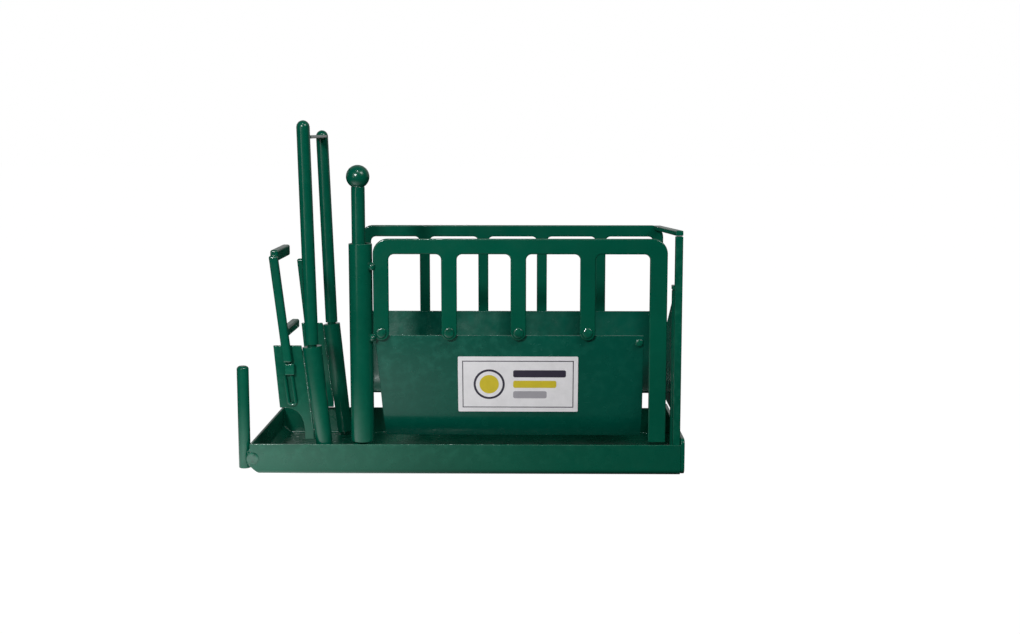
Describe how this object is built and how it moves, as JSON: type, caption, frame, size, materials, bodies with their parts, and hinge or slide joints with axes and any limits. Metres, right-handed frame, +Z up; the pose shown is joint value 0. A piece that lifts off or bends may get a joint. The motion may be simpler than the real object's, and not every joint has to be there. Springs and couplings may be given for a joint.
{
  "type": "cattle squeeze chute",
  "caption": "Toy cattle squeeze chute: a welded tray with a headgate hoop and swinging leaves, a side panel that turns about a ball-topped pin, a fixed far panel and a tail gate.",
  "frame": {"origin": "centre of the bounding box on the surface that the tray stands on", "axes": "+X towards the tail end, -Y is the side with the turning panel and the label, +Z up"},
  "size_m": [0.2246, 0.0966, 0.1765],
  "materials": {
    "enamel": "glossy dark green enamel on steel",
    "plate_enamel": "glossy dark green enamel on folded sheet steel",
    "label_vinyl": null
  },
  "bodies": {
    "root": {"base_pan": "enamel", "pan_end_plate": "enamel", "connector_peg": "enamel", "peg_weld": "enamel", "headgate_post_near": "enamel", "headgate_post_far": "enamel", "headgate_top_strap": "enamel", "pivot_socket": "enamel", "far_side_frame": "enamel", "far_side_plate": "plate_enamel", "far_side_rivet_1": "enamel", "far_side_rivet_2": "enamel", "far_side_rivet_3": "enamel", "far_side_rivet_4": "enamel", "tail_post": "enamel", "tail_top_strap": "enamel", "tail_hinge_pin": "enamel", "tail_hinge_lug": "enamel"},
    "near_leaf": {"headgate_barrel_near": "enamel", "headgate_wing_near": "enamel", "neck_bar_near": "enamel", "neck_bar_handle": "enamel", "neck_bar_stub": "enamel", "latch_block": "enamel", "latch_loop": "enamel"},
    "far_leaf": {"headgate_barrel_far": "enamel", "headgate_wing_far": "enamel", "neck_bar_far": "enamel"},
    "side_gate": {"hinge_sleeve": "enamel", "hinge_weld_1": "enamel", "hinge_weld_2": "enamel", "near_side_frame": "enamel", "near_side_plate": "plate_enamel", "near_side_rivet_1": "enamel", "near_side_rivet_2": "enamel", "near_side_rivet_3": "enamel", "near_side_rivet_4": "enamel", "near_plate_rivet": "enamel", "side_label": "label_vinyl"},
    "pivot_pin": {"pivot_rod": "enamel", "ball_knob": "enamel"},
    "tail_gate": {"tail_gate_barrel": "enamel", "tail_gate_plate": "plate_enamel"}
  },
  "joints": [
    {"name": "side_gate_swing", "type": "hinge", "parent": "root", "child": "side_gate", "pos_m": [-0.0496, -0.0416, 0.06], "axis": [0, 0, 1], "range_deg": [-100, 12]},
    {"name": "near_leaf_swing", "type": "hinge", "parent": "root", "child": "near_leaf", "pos_m": [-0.07183, -0.0418, 0.04], "axis": [-0.1067, 0, 0.9943], "range_deg": [-85, 0]},
    {"name": "far_leaf_swing", "type": "hinge", "parent": "root", "child": "far_leaf", "pos_m": [-0.07363, 0.0423, 0.04], "axis": [-0.1067, 0, 0.9943], "range_deg": [0, 85]},
    {"name": "tail_gate_swing", "type": "hinge", "parent": "root", "child": "tail_gate", "pos_m": [0.1074, -0.0389, 0.05], "axis": [0, 0, 1], "range_deg": [-100, 0]},
    {"name": "pivot_pin_lift", "type": "slide", "parent": "root", "child": "pivot_pin", "axis": [0, 0, 1], "range_m": [0, 0.04]}
  ]
}
